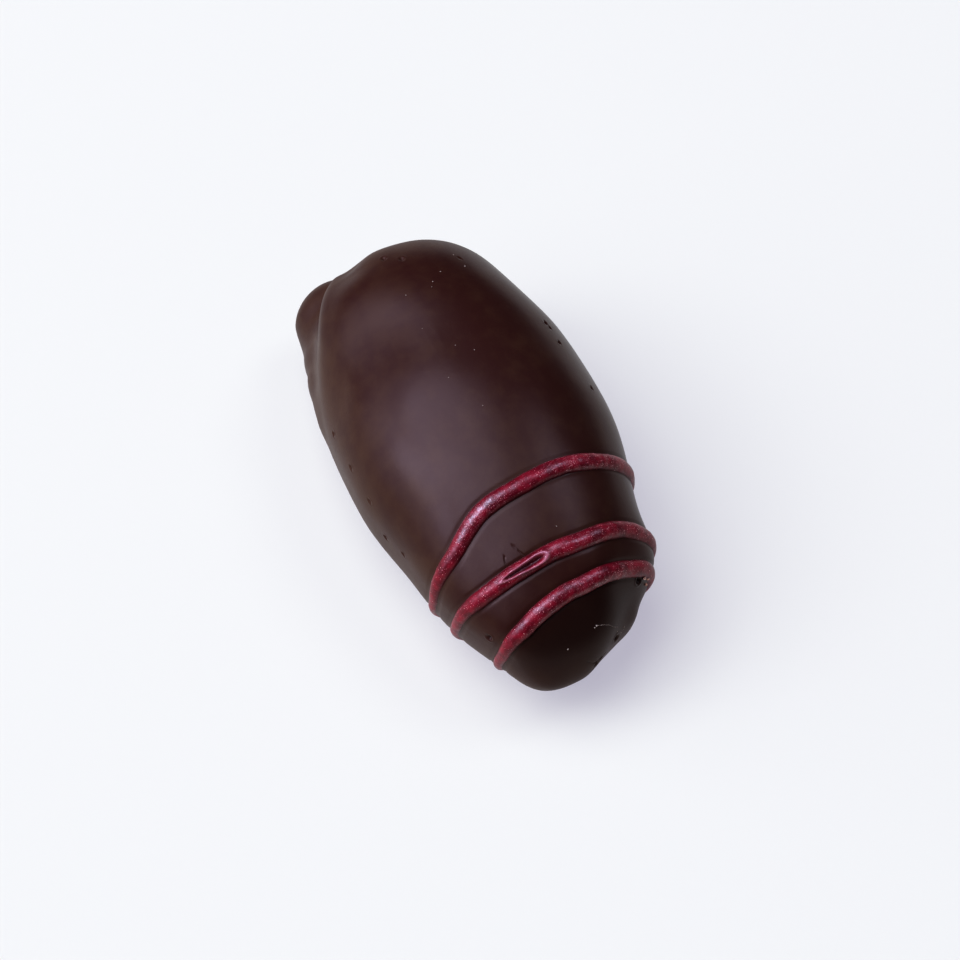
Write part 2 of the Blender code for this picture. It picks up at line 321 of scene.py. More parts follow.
def field(points):
    """The whole form without its piped lines: below 0 inside it."""
    value = coat(points)
    normal = np.array(TAIL_FACE_NORMAL) / np.linalg.norm(TAIL_FACE_NORMAL)
    face = (points - np.array(TAIL_FACE_POINT)) @ normal
    value = blend_max(value, face, TAIL_FACE_BLEND)
    sunk = np.clip((points[:, 0] - FOLD_STARTS) / (FOLD_ENDS - FOLD_STARTS), 0.0, 1.0)
    blend = FOLD_BLEND_AT_START + (FOLD_BLEND_AT_END - FOLD_BLEND_AT_START) * sunk
    value = blend_min(value, fold(points), blend)
    for places, radius, first, last in RELIEFS.values():
        value = value - relief(points, places, radius, first, last)
    for place, radius, height in SHALLOW_RELIEFS:
        squares = ((points - place) ** 2).sum(axis=1)
        value = value - height * np.exp(-squares / (2 * radius**2))
    return blend_max(value, -points[:, 2], BASE_ROUNDING)


def slope(points):
    """The outward unit normal of the form at each point."""
    steps = np.eye(3) * SLOPE_STEP
    rises = [field(points + step) - field(points - step) for step in steps]
    rises = np.stack(rises, axis=1)
    return rises / np.linalg.norm(rises, axis=1)[:, None]


def surface_along(origins, directions):
    """The outermost point of the form on each ray."""
    origins = np.broadcast_to(origins, directions.shape)
    inner = np.zeros(len(directions))
    outer = np.full(len(directions), SEARCH_FAR)
    waiting = np.arange(len(directions))
    for reach in np.linspace(SEARCH_FAR, 0.0, SEARCH_STEPS):
        inside = field(origins[waiting] + directions[waiting] * reach) < 0
        inner[waiting[inside]] = reach
        waiting = waiting[~inside]
        outer[waiting] = reach
    for _ in range(HALVINGS):
        middle = (inner + outer) / 2
        inside = field(origins + directions * middle[:, None]) < 0
        inner = np.where(inside, middle, inner)
        outer = np.where(inside, outer, middle)
    return origins + directions * inner[:, None]


def on_coat(turns, along):
    """Points of the coat at these turns about the date's axis and places along it."""
    angle = np.radians(np.asarray(turns, float))
    outward = np.stack([0 * angle, -np.cos(angle), np.sin(angle)], axis=1)
    along = np.asarray(along, float)
    origins = np.stack([along, 0 * along, 0 * along + WIDEST_HEIGHT], axis=1)
    return surface_along(origins, outward)


def line_path(name):
    """A piped line's points on the coat and their turns, from one foot to the other."""
    turns = np.arange(LINE_TURNS[0], LINE_TURNS[-1] + LINE_TURN_STEP / 2, LINE_TURN_STEP)
    points = on_coat(turns, through(LINE_TURNS, LINES[name], turns))
    above_foot = points[:, 2] > LINE_FOOT
    return points[above_foot], turns[above_foot]


def smooth_path(places, count):
    """Points of the coat along a smooth curve through a few turns and places on X."""
    places = np.array(places, float)
    run = np.linspace(0.0, len(places) - 1.0, count)
    turns, along = (through(np.arange(len(places)), column, run) for column in places.T)
    return on_coat(turns, along)


class Placing:
    """Puts the form's millimetres into the solid's box, in metres."""

    def __init__(self, points):
        low, high = points.min(axis=0), points.max(axis=0)
        margin = BOX_MARGIN * MM
        room = NODE_HIGH - NODE_LOW - np.array((2 * margin, 2 * margin, margin))
        self.scale = room / (high - low)
        self.shift = (NODE_LOW + np.array((margin, margin, 0.0))) - low * self.scale

    def __call__(self, points):
        return np.asarray(points) * self.scale + self.shift


class Value:
    """A node's socket, in which Python's arithmetic adds Math nodes."""

    def __init__(self, maker, socket):
        self.maker = maker
        self.socket = socket

    def __add__(self, other):
        return self.maker.math("ADD", self, other)

    def __radd__(self, other):
        return self.maker.math("ADD", other, self)

    def __sub__(self, other):
        return self.maker.math("SUBTRACT", self, other)

    def __rsub__(self, other):
        return self.maker.math("SUBTRACT", other, self)

    def __mul__(self, other):
        return self.maker.math("MULTIPLY", self, other)

    def __rmul__(self, other):
        return self.maker.math("MULTIPLY", other, self)

    def __truediv__(self, other):
        return self.maker.math("DIVIDE", self, other)

    def __rtruediv__(self, other):
        return self.maker.math("DIVIDE", other, self)


class NodeMaker:
    """Adds nodes to one tree, of materials or of geometry."""

    def __init__(self, tree):
        self.tree = tree

    def add(self, kind, settings=(), inputs=(), output=0):
        """A new node with its settings, then its sockets' values or links."""
        node = self.tree.nodes.new(kind)
        for name, value in dict(settings).items():
            setattr(node, name, value)
        for key, value in dict(inputs).items():
            self.feed(node.inputs[key], value)
        return Value(self, node.outputs[output])

    def feed(self, socket, value):
        """Links a socket to a value, or sets it to a number or an opaque colour."""
        if isinstance(value, Value):
            self.tree.links.new(value.socket, socket)
        elif isinstance(value, Color):
            socket.default_value = (*value, 1.0)
        else:
            socket.default_value = value

    def math(self, operation, *values):
        return self.add("ShaderNodeMath", {"operation": operation}, enumerate(values))

    def largest(self, *values):
        """The largest of a few numbers."""
        largest = values[-1]
        for value in reversed(values[:-1]):
            largest = self.math("MAXIMUM", value, largest)
        return largest

    def scaled(self, vector, scale):
        """A vector times a number."""
        inputs = {"Vector": vector, "Scale": scale}
        return self.add("ShaderNodeVectorMath", {"operation": "SCALE"}, inputs)

    def distance(self, first, second):
        """How far two places are from each other."""
        settings = {"operation": "DISTANCE"}
        return self.add("ShaderNodeVectorMath", settings, {0: first, 1: second}, "Value")

    def vector(self, x, y, z):
        return self.add("ShaderNodeCombineXYZ", {}, {"X": x, "Y": y, "Z": z})

    def part(self, vector, axis):
        """A vector's X, Y or Z."""
        return self.add("ShaderNodeSeparateXYZ", {}, {"Vector": vector}, axis)

    def between(self, value, low, high, from_low=0.0, from_high=1.0):
        """A number eased from low to high while the value runs through its own range."""
        inputs = {
            "Value": value,
            "From Min": from_low,
            "From Max": from_high,
            "To Min": low,
            "To Max": high,
        }
        return self.add("ShaderNodeMapRange", {"interpolation_type": "SMOOTHSTEP"}, inputs)

    def mix(self, factor, first, second):
        """A colour between two colours."""
        inputs = {0: factor, 6: first, 7: second}
        return self.add("ShaderNodeMix", {"data_type": "RGBA"}, inputs, 2)

    def noise(self, position, size, detail=2.0, roughness=0.5):
        """Smooth noise from 0 to 1 whose features are about this size, in metres."""
        inputs = {
            "Vector": position,
            "Scale": 1.0 / size,
            "Detail": detail,
            "Roughness": roughness,
        }
        return self.add("ShaderNodeTexNoise", {}, inputs)


class MaterialTree(NodeMaker):
    """A new material's nodes and its shader, with the numbers that stay the same set."""

    def __init__(self, name, uniform):
        self.material = bpy.data.materials.new(name)
        self.material.use_nodes = True
        super().__init__(self.material.node_tree)
        for name, value in uniform.items():
            self.set(name, value)

    def set(self, name, value):
        """Sets or links one of the shader's inputs."""
        self.feed(self.tree.nodes["Principled BSDF"].inputs[name], value)

    def place(self):
        """Where the surface is, in the object's own coordinates."""
        return self.add("ShaderNodeTexCoord", {}, {}, "Object")

    def number(self, name):
        """A number stored on the mesh under this name."""
        return self.add("ShaderNodeAttribute", {"attribute_name": name}, {}, "Fac")

    def bump(self, strength, height):
        """Fine roughness that follows a height from 0 to 1."""
        inputs = {"Strength": strength, "Distance": BUMP_HEIGHT, "Height": height}
        self.set("Normal", self.add("ShaderNodeBump", {}, inputs))


class GeometryTree(NodeMaker):
    """A Geometry Nodes tree with named inputs, run once and turned to a plain mesh."""

    def __init__(self, name, inputs):
        super().__init__(bpy.data.node_groups.new(name, "GeometryNodeTree"))
        sockets = self.tree.interface
        sockets.new_socket("Geometry", in_out="INPUT", socket_type="NodeSocketGeometry")
        self.names = {}
        for label, kind in inputs.items():
            kind = "NodeSocket" + kind
            socket = sockets.new_socket(label, in_out="INPUT", socket_type=kind)
            self.names[label] = socket.identifier
        sockets.new_socket("Geometry", in_out="OUTPUT", socket_type="NodeSocketGeometry")
        self.given = self.tree.nodes.new("NodeGroupInput")

    def input(self, label):
        """The tree's input of this name."""
        return Value(self, self.given.outputs[label])

    def points_of(self, label):
        """The geometry of a guide object that is one of the inputs."""
        return self.add("GeometryNodeObjectInfo", {}, {"Object": self.input(label)}, "Geometry")

    def number(self, name, kind="FLOAT"):
        """A number, or a vector, stored on the geometry under this name."""
        settings = {"data_type": kind}
        return self.add("GeometryNodeInputNamedAttribute", settings, {"Name": name})

    def read(self, kind, geometry, value, index):
        """A value of one point of another geometry."""
        inputs = {"Geometry": geometry, "Value": value, "Index": index}
        return self.add("GeometryNodeSampleIndex", {"data_type": kind}, inputs)

    def distance_to(self, label, place):
        """How far a place is from the edges of a guide object."""
        inputs = {"Geometry": self.points_of(label), "Sample Position": place}
        settings = {"target_element": "EDGES"}
        return self.add("GeometryNodeProximity", settings, inputs, "Distance")

    def random_vector(self, low, high, seed):
        """A vector for each point, each of its parts at random from low to high."""
        inputs = {"Min": low, "Max": high, "Seed": seed}
        return self.add("FunctionNodeRandomValue", {"data_type": "FLOAT_VECTOR"}, inputs)

    def instances(self, points, instance, turn, size):
        """The points with the instance on each, turned and sized."""
        inputs = {"Points": points, "Instance": instance, "Rotation": turn, "Scale": size}
        return self.add("GeometryNodeInstanceOnPoints", {}, inputs)

    def stored(self, geometry, name, value):
        """The geometry with a number stored on its points under this name."""
        inputs = {"Geometry": geometry, "Name": name, "Value": value}
        return self.add("GeometryNodeStoreNamedAttribute", {"data_type": "FLOAT"}, inputs)

    def raised(self, geometry, normal, rise):
        """The geometry with each point moved along its normal."""
        inputs = {"Geometry": geometry, "Offset": self.scaled(normal, rise)}
        return self.add("GeometryNodeSetPosition", {}, inputs)

    def finish(self, geometry):
        """Ends the tree in real, smooth geometry with its material."""
        real = self.add("GeometryNodeRealizeInstances", {}, {"Geometry": geometry})
        inputs = {"Geometry": real, "Material": self.input("Material")}
        made = self.add("GeometryNodeSetMaterial", {}, inputs)
        ending = self.tree.nodes.new("NodeGroupOutput")
        self.tree.links.new(made.socket, ending.inputs["Geometry"])

    def run(self, obj, values):
        """Runs the tree on an object with these inputs and keeps the mesh that it makes."""
        modifier = obj.modifiers.new(self.tree.name, "NODES")
        modifier.node_group = self.tree
        for label, value in values.items():
            modifier[self.names[label]] = value
        depsgraph = bpy.context.evaluated_depsgraph_get()
        depsgraph.update()
        made = bpy.data.meshes.new_from_object(obj.evaluated_get(depsgraph))
        obj.modifiers.remove(modifier)
        if not made.polygons:
            raise RuntimeError(f"{self.tree.name} made nothing on {obj.name}")
        made.name = obj.name
        obj.data = made
        made.shade_smooth()


def link(obj):
    bpy.context.scene.collection.objects.link(obj)
    return obj


def mesh_object(name, points, edges=(), faces=(), numbers=()):
    """A new object of points in metres, with numbers or vectors stored on its points."""
    mesh = bpy.data.meshes.new(name)
    mesh.from_pydata([tuple(point) for point in points], list(edges), list(faces))
    for label, values in dict(numbers).items():
        values = np.asarray(values, float)
        if values.ndim == 1:
            mesh.attributes.new(label, "FLOAT", "POINT").data.foreach_set("value", values)
        else:
            store = mesh.attributes.new(label, "FLOAT_VECTOR", "POINT")
            store.data.foreach_set("vector", values.ravel())
    mesh.update()
    return link(bpy.data.objects.new(name, mesh))


def chain(count, start=0):
    """The edges that join a run of points one after another."""
    return [(start + index, start + index + 1) for index in range(count - 1)]


def join_paths(name, paths):
    """One object of several chains of points."""
    points = np.concatenate(paths)
    edges = []
    start = 0
    for path in paths:
        edges += chain(len(path), start)
        start += len(path)
    return mesh_object(name, points, edges)


def close_mesh(obj):
    """Merges the doubled points where a tube's end closes, and points all faces out."""
    form = bmesh.new()
    form.from_mesh(obj.data)
    bmesh.ops.remove_doubles(form, verts=form.verts[:], dist=MERGE_DISTANCE)
    bmesh.ops.holes_fill(form, edges=[edge for edge in form.edges if edge.is_boundary])
    bmesh.ops.recalc_face_normals(form, faces=form.faces[:])
    form.to_mesh(obj.data)
    form.free()
    obj.data.shade_smooth()


def remove(*objects):
    for obj in objects:
        bpy.data.objects.remove(obj, do_unlink=True)


def ride(obj):
    """Makes a finished piece ride with the date and stand for its solid."""
    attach(obj, BODY)
    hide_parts(NODE)


# ---------------------------------------------------------------- finishes

# Noise stays mostly between 0.3 and 0.7, so the ranges that are read from it lie there.

# How high the fine roughness of the coat and the icing stands.
BUMP_HEIGHT = 0.02 * MM

# The sizes of the chocolate's patterns.
CLOUD_SIZE = 7.0 * MM
BLOTCH_SIZE = 1.6 * MM
GRAIN_SIZE = 0.22 * MM

# Where the chocolate's looks change: the heights, or the places along and across the
# date, between which they do. The tail's slants by this share of the place across.
LOW_SIDES = (1.0 * MM, 13.0 * MM)
HEAD_END = (-22.0 * MM, -15.0 * MM)
NEAR_EDGE = (-13.0 * MM, -5.0 * MM)
TAIL_END = (19.0 * MM, 22.5 * MM)
TAIL_HEIGHTS = (5.0 * MM, 11.0 * MM)
TAIL_SLANT = 0.25

# How far the coat browns at the head and the near edge, against its low sides, and how
# brown it is everywhere, low down and at those edges, and where it is mottled.
HEAD_BROWNING = 0.7
NEAR_BROWNING = 0.6
BROWN_EVERYWHERE = 0.28
BROWN_LOW_AND_AT_EDGES = 0.55
BROWN_MOTTLE = 0.55

# How much rougher the coat gets in its patterns and where it is worn, how worn the tail
# is, and how far its face is darkened with painted shade.
SATIN_CHANGE = 0.04
WORN_CHANGE = 0.16
TAIL_WEAR = 0.4
TAIL_PAINTED_SHADE = 0.85

# The sizes of the icing's streaks, of its dust and of the patches in which dust lies.
STREAK_SIZE = 1.3 * MM
DUST_SIZE = 0.13 * MM
PATCH_SIZE = 0.6 * MM

# The size of the patches in which loose grains share a shade.
SHADE_SIZE = 0.4 * MM

# How far the icing takes on the dust's colour, and the foot's darker colour, which is
# partly the icing thinning to the coat and partly painted shade where the line meets it,
# how far its roughness changes in streaks, and how much pearl its rim has and its foot lacks.
DUST_SHARE = 0.35
FOOT_SHADE_SHARE = 0.75
STREAK_CHANGE = 0.2
RIM_PEARL = 0.8
FOOT_LACK = 0.85


def chocolate_finish(settings):
    """Satin dark chocolate: browner low on its sides and head, with painted shade darkening the
    tail's face.
    """
    nodes = MaterialTree("dark_chocolate", {
        "Specular IOR Level": settings.gloss,
        "Specular Tint": settings.gloss_tint,
    })
    place = nodes.place()
    clouds = nodes.noise(place, CLOUD_SIZE, 3.0)
    blotches = nodes.noise(place, BLOTCH_SIZE, 3.0, 0.6)
    grain = nodes.noise(place, GRAIN_SIZE)
    x, y, z = (nodes.part(place, axis) for axis in "XYZ")
    mottle = nodes.between(0.5 * clouds + 0.5 * blotches, -0.45, 0.45, 0.33, 0.67)
    low = nodes.between(z, 1.0, 0.0, *LOW_SIDES)
    head = nodes.between(x, 1.0, 0.0, *HEAD_END)
    near = nodes.between(y, 1.0, 0.0, *NEAR_EDGE)
    browned = nodes.largest(low, HEAD_BROWNING * head, NEAR_BROWNING * near)
    share = BROWN_EVERYWHERE + BROWN_LOW_AND_AT_EDGES * browned + BROWN_MOTTLE * mottle
    share = nodes.between(share, 0.0, 1.0, 0.05, 0.95)
    colour = nodes.mix(share, settings.dark, settings.brown)
    # Painted shade: the tail's face, below the last line, is darkened towards the darkest colour.
    tail = nodes.between(x + TAIL_SLANT * y, 0.0, 1.0, *TAIL_END)
    tail = tail * nodes.between(z, 0.0, 1.0, *TAIL_HEIGHTS)
    nodes.set("Base Color", nodes.mix(TAIL_PAINTED_SHADE * tail, colour, settings.deep))
    satin = nodes.between(0.6 * clouds + 0.4 * grain, -1.0, 1.0, 0.3, 0.7)
    worn = nodes.largest(low, head, TAIL_WEAR * tail)
    nodes.set("Roughness", settings.roughness + SATIN_CHANGE * satin + WORN_CHANGE * worn)
    nodes.bump(0.6, 0.6 * blotches + 0.4 * grain)
    return nodes.material


def icing_finish(settings):
    """Deep red icing with fine pearl dust in it, paler along the rim of the bubble, partly as
    painted highlight, and darkened with painted shade at its foot and down in the bubble.
    """
    nodes = MaterialTree("red_icing", {
        "IOR": settings.icing_index,
        "Specular Tint": settings.icing_tint,
        "Coat IOR": settings.pearl_index,
        "Coat Roughness": settings.pearl_roughness,
    })
    place = nodes.place()
    streaks = nodes.noise(place, STREAK_SIZE, 3.0, 0.6)
    specks = nodes.noise(place, DUST_SIZE, 1.0)
    shade = nodes.between(streaks, 0.0, 1.0, 0.3, 0.72)
    colour = nodes.mix(shade, settings.deep, settings.bright)
    dusted = nodes.between(specks, 0.0, 1.0, 0.60, 0.74)
    colour = nodes.mix(dusted * DUST_SHARE, colour, settings.dust)
    # Partly painted highlight: the bubble's rim is paler, both for a paler sugar rim and for the
    # highlight along it.
    rim = nodes.number("rim")
    colour = nodes.mix(rim * (0.55 + 0.45 * dusted), colour, settings.rim)
    # Painted shade: the icing is darkened at its foot, where the line meets the coat, and partly
    # because the icing thins there.
    foot = nodes.number("foot")
    colour = nodes.mix(FOOT_SHADE_SHARE * foot, colour, settings.foot)
    # Painted shade: the icing down in the bubble's trough is darkened.
    trough = nodes.number("trough")
    colour = nodes.mix(trough * (0.9 - 0.4 * dusted), colour, settings.hollow)
    nodes.set("Base Color", colour)
    nodes.set("Roughness", settings.roughness + STREAK_CHANGE * (streaks - 0.5))
    patches = nodes.between(nodes.noise(place, PATCH_SIZE), 0.2, 1.0, 0.35, 0.6)
    grains = nodes.between(specks, 0.3, 1.0, 0.38, 0.62)
    pearl = nodes.largest(nodes.number("dusting"), RIM_PEARL * rim)
    nodes.set("Coat Weight", pearl * patches * grains * (1.0 - FOOT_LACK * foot))
    nodes.bump(0.8, specks)
    return nodes.material


def grain_finish(name, first, second, metallic, roughness):
    """Fine grains, each of a colour between two."""
    nodes = MaterialTree(name, {"Metallic": metallic, "Roughness": roughness})
    shade = nodes.noise(nodes.place(), SHADE_SIZE, 1.0)
    shade = nodes.between(shade, 0.0, 1.0, 0.35, 0.65)
    nodes.set("Base Color", nodes.mix(shade, first, second))
    return nodes.material


def floor_finish(settings):
    """A matt pale sheet, lit a little from below, so that shadows on it stay pale."""
    nodes = MaterialTree("pale_floor", {
        "Roughness": 0.9,
        "Specular IOR Level": 0.0,
        "Base Color": settings.floor_colour,
        "Emission Color": settings.floor_glow,
        "Emission Strength": 1.0,
    })
    return nodes.material


# ---------------------------------------------------------------- the coat


def near_places(points, places, reach):
    """Which points lie within reach of any of these places."""
    close = np.zeros(len(points), bool)
    for place in places:
        close |= ((points - place) ** 2).sum(axis=1) < reach**2
    return close


def shell(line_points, mark_points):
    """The coated date without its lines: a cube's faces spread over its form, finer
    beside the lines and the marks."""
    form = bmesh.new()
    bmesh.ops.create_cube(form, size=2.0)
    bmesh.ops.subdivide_edges(form, edges=form.edges[:], cuts=SHELL_CUTS, use_grid_fill=True)
    for places, reach in ((line_points, FINE_BESIDE_LINES), (mark_points, FINE_BESIDE_MARKS)):
        points = form_points(form)
        close = near_places(points, places, reach)
        fine = [face for face in form.faces if any(close[v.index] for v in face.verts)]
        edges = {edge for face in fine for edge in face.edges}
        bmesh.ops.subdivide_edges(form, edges=list(edges), cuts=1, use_grid_fill=True)
    points = form_points(form)
    points[points[:, 2] < FLAT_SNAP, 2] = 0.0
    return form, points


def form_points(form):
    """Where the form's surface is, for each point of the cube."""
    form.verts.ensure_lookup_table()
    form.verts.index_update()
    cube = np.array([vertex.co[:] for vertex in form.verts])
    directions = np.tan(cube * math.pi / 4) * np.array(SHELL_STRETCH)
    directions /= np.linalg.norm(directions, axis=1)[:, None]
    return surface_along(np.array((0.0, 0.0, WIDEST_HEIGHT)), directions)


# The heights between which the coat's relief fades in above its base, and the level of
# the ripples' noise at which the coat stays as it is.
RELIEF_FADES_IN = (0.2 * MM, 2.0 * MM)
RIPPLE_REST = 0.62

# A pit's flat floor, and the middle, the width and the height of the lip round it, all
# against half the pit's width.
PIT_FLOOR = 0.1
LIP_MIDDLE = 1.25
LIP_WIDTH = 0.4
LIP_HEIGHT = 0.1


def skin_tree():
    """Ripples the coat, and sinks its pits, its cracks and the foot of each line."""
    tree = GeometryTree("coat_skin", {
        "Ripple Height": "Float",
        "Ripple Size": "Float",
        "Pits": "Object",
        "Pit Depth": "Float",
        "Cracks": "Object",
        "Crack Depth": "Float",
        "Crack Width": "Float",
        "Line Paths": "Object",
        "Groove Depth": "Float",
        "Groove Width": "Float",
        "Line Half Width": "Float",
        "Material": "Material",
    })
    place = tree.add("GeometryNodeInputPosition")
    normal = tree.add("GeometryNodeInputNormal")
    above_base = tree.between(tree.part(place, "Z"), 0.0, 1.0, *RELIEF_FADES_IN)
    inputs = {
        "Vector": tree.scaled(place, 1.0 / tree.input("Ripple Size")),
        "Scale": 1.0,
        "Detail": 1.0,
    }
    ripple = tree.add("ShaderNodeTexNoise", {}, inputs)
    rise = (ripple - RIPPLE_REST) * 2.0 * tree.input("Ripple Height")

    pits = tree.points_of("Pits")
    inputs = {"Geometry": pits, "Sample Position": place}
    nearest = tree.add("GeometryNodeSampleNearest", {}, inputs)
    size = tree.read("FLOAT", pits, tree.number("size"), nearest)
    position = tree.add("GeometryNodeInputPosition")
    middle = tree.read("FLOAT_VECTOR", pits, position, nearest)
    from_pit = tree.distance(place, middle) / size
    pit = tree.between(from_pit, 1.0, 0.0, PIT_FLOOR, 1.0)
    from_lip = tree.math("ABSOLUTE", from_pit - LIP_MIDDLE)
    lip = tree.between(from_lip, 1.0, 0.0, 0.0, LIP_WIDTH)
    rise = rise + (LIP_HEIGHT * lip - pit * tree.input("Pit Depth")) * size

    from_crack = tree.distance_to("Cracks", place) / tree.input("Crack Width")
    crack = tree.between(from_crack, 1.0, 0.0)
    rise = rise - crack * tree.input("Crack Depth")

    beside = tree.distance_to("Line Paths", place) - tree.input("Line Half Width")
    beside = tree.math("ABSOLUTE", beside / tree.input("Groove Width"))
    groove = tree.between(beside, 1.0, 0.0)
    rise = rise - groove * tree.input("Groove Depth")
    tree.finish(tree.raised(tree.input("Geometry"), normal, rise * above_base))
    return tree


# ---------------------------------------------------------------- settings


def length(name, description, default):
    return bpy.props.FloatProperty(
        name=name, description=description, default=default,
        subtype="DISTANCE", unit="LENGTH", precision=5, min=0.0,
    )


def amount(name, description, default):
    return bpy.props.FloatProperty(name=name, description=description, default=default)


def whole(name, description, default):
    return bpy.props.IntProperty(name=name, description=description, default=default)


def colour(name, description, default):
    return bpy.props.FloatVectorProperty(
        name=name, description=description, default=default,
        subtype="COLOR", size=3, min=0.0, max=1.0,
    )


class DATE_PG_coat(bpy.types.PropertyGroup):
    """The coat's fine relief and its finish."""

    ripple_height: length("Ripple height", "How far the coat waves in and out", 0.05 * MM)
    ripple_size: length("Ripple size", "How long the coat's waves are", 6.0 * MM)
    pit_depth: amount("Pit depth", "How deep a pit is, against half its width", 0.8)
    crack_depth: length("Crack depth", "How deep the cracks are", 0.09 * MM)
    crack_width: length("Crack width", "How wide the cracks are on either side", 0.10 * MM)
    groove_depth: length("Groove depth", "How far the coat sinks beside a line", 0.06 * MM)
    groove_width: length("Groove width", "How wide that groove is", 0.30 * MM)
    # Painted shade: the darkest colour is painted onto the tail's face.
    deep: colour("Darkest chocolate", "The coat on the tail's face", (0.016, 0.0040, 0.0025))
    dark: colour("Dark chocolate", "The coat where it is thick", (0.039, 0.0098, 0.0068))
    # The browner colour, used low on the sides, at the head and along the near edge.
    brown: colour("Brown chocolate", "The coat where it is thin", (0.060, 0.0230, 0.0115))
    roughness: amount("Roughness", "How satin the coat is", 0.33)
    gloss: amount("Gloss", "How strongly the coat reflects", 0.29)
    gloss_tint: colour("Gloss tint", "The colour of its reflections", (1.0, 0.76, 0.69))


class DATE_PG_icing(bpy.types.PropertyGroup):
    """The piped lines' section and finish."""

    line_radius: length("Line radius", "Half the width of a piped line", 0.88 * MM)
    flatness: amount("Flatness", "Height of a line's section against its width", 0.86)
    sink: amount("Sink", "How deep the lines lie in the coat, against their usual depth", 1.0)
    unevenness: length("Unevenness", "How far the icing swells and thins", 0.11 * MM)
    bubble_depth: length("Bubble depth", "How deep the burst bubble is", 0.45 * MM)
    bubble_width: length("Bubble width", "Half the width of the burst bubble", 0.50 * MM)
    rim_height: length("Rim height", "How far the bubble's rim stands up", 0.12 * MM)
    deep: colour("Deep red", "The icing in its darker streaks", (0.105, 0.0013, 0.008))
    bright: colour("Bright red", "The icing in its lighter streaks", (0.265, 0.0065, 0.021))
    dust: colour("Dust", "The finest pearl dust in the icing", (0.52, 0.13, 0.17))
    # The foot's colour: partly the icing thinning to the coat, partly painted shade where the line
    # meets it.
    foot: colour("Foot", "The icing where it thins to the coat", (0.078, 0.0015, 0.006))
    # Partly a paler sugar rim and partly painted highlight.
    rim: colour("Rim", "The rim of the burst bubble", (0.55, 0.20, 0.23))
    # Painted shade down in the burst bubble's trough.
    hollow: colour("Hollow", "The icing down in the bubble", (0.055, 0.0010, 0.005))
    roughness: amount("Roughness", "How satin the icing is", 0.36)
    icing_index: amount("Icing index", "How strongly the bare icing reflects", 1.45)
    icing_tint: colour("Icing tint", "The colour of its reflections", (1.0, 0.72, 0.70))
    pearl_index: amount("Pearl index", "How strongly the pearl dust reflects", 1.95)
    pearl_roughness: amount("Pearl roughness", "How broad the dust's sheen is", 0.36)


class DATE_PG_dust(bpy.types.PropertyGroup):
    """The pearl flakes on the lines."""

    flake_size: length("Flake size", "The width of the largest flakes", 0.09 * MM)
    flake_density: amount("Flake density", "Flakes on each square millimetre", 12.0)
    flake_tilt: amount("Flake tilt", "How far a flake may lie off the icing", 0.28)
    seed: whole("Seed", "Where the flakes fall", 4)
    pearl: colour("Pearl", "The flakes' main colour", (0.90, 0.34, 0.36))
    rose: colour("Rose", "The flakes' other colour", (0.92, 0.52, 0.48))


class DATE_PG_marks(bpy.types.PropertyGroup):
    """The pale specks, the fine scratch and the crumbs on the coat."""

    speck_size: amount("Speck size", "The specks' sizes, against their usual ones", 1.0)
    scratch_width: length("Scratch width", "The width of the fine scratch", 0.07 * MM)
    scratch_grains: whole("Scratch grains", "How many grains the scratch is made of", 26)
    seed: whole("Seed", "How the grains are turned", 1)
    bloom: colour("Bloom", "The pale specks on the coat", (0.42, 0.31, 0.24))
    dusty: colour("Dusty", "The specks' other colour", (0.22, 0.15, 0.11))
    crumb: colour("Crumb", "The crumbs at the end of a line", (0.85, 0.42, 0.28))
    crumb_edge: colour("Crumb edge", "The crumbs' other colour", (0.90, 0.70, 0.62))


class DATE_PG_stage(bpy.types.PropertyGroup):
    """The floor, the lights and the camera."""

    floor_colour: colour("Floor", "The floor's colour", (0.315, 0.283, 0.181))
    floor_glow: colour("Floor glow", "The light that comes up through it", (0.505, 0.492, 0.585))
    light_colour: colour("Light colour", "The colour of all the lights", (0.64, 0.75, 1.0))
    wide_light: amount("Wide light", "Brightness of the broad light on the left", 2.62)
    window_light: amount("Window light", "Brightness of the small light on the left", 9.31)
    top_light: amount("Top light", "Brightness of the light high on the left", 6.89)
    side_light: amount("Side light", "Brightness of the small light on the right", 6.06)
    contrast: amount("Contrast", "The camera's contrast", 1.3)
    camera_distance: length("Camera distance", "From the date to the camera", 255.0 * MM)
    lens: amount("Lens", "The camera's focal length in millimetres", 100.0)


def chosen(name):
    """The scene's settings of one step."""
    return getattr(bpy.context.scene, "date_" + name)


# ---------------------------------------------------------------- making the coat

# What later steps need of earlier ones: the coat's bare form, the placing and the lines.
KEPT = {}


def placing():
    """The placing that fits the form into the solid's box, worked out once."""
    if "placing" not in KEPT:
        form, points = shell(line_guides(), mark_guides())
        KEPT["shell"] = (form, points)
        KEPT["placing"] = Placing(points)
    return KEPT["placing"]


def line_guides():
    """Points of the lines' paths, beside which the coat's mesh is finer."""
    return np.concatenate([line_path(name)[0][::LINE_GUIDE_STEP] for name in LINES])


def mark_guides():
    """Points of the pits and cracks, beside which the coat's mesh is finer."""
    turns, along, _ = np.array(PITS, float).T
    cracks = [smooth_path(crack, CRACK_GUIDES) for crack in CRACKS]
    return np.concatenate([on_coat(turns, along), *cracks])


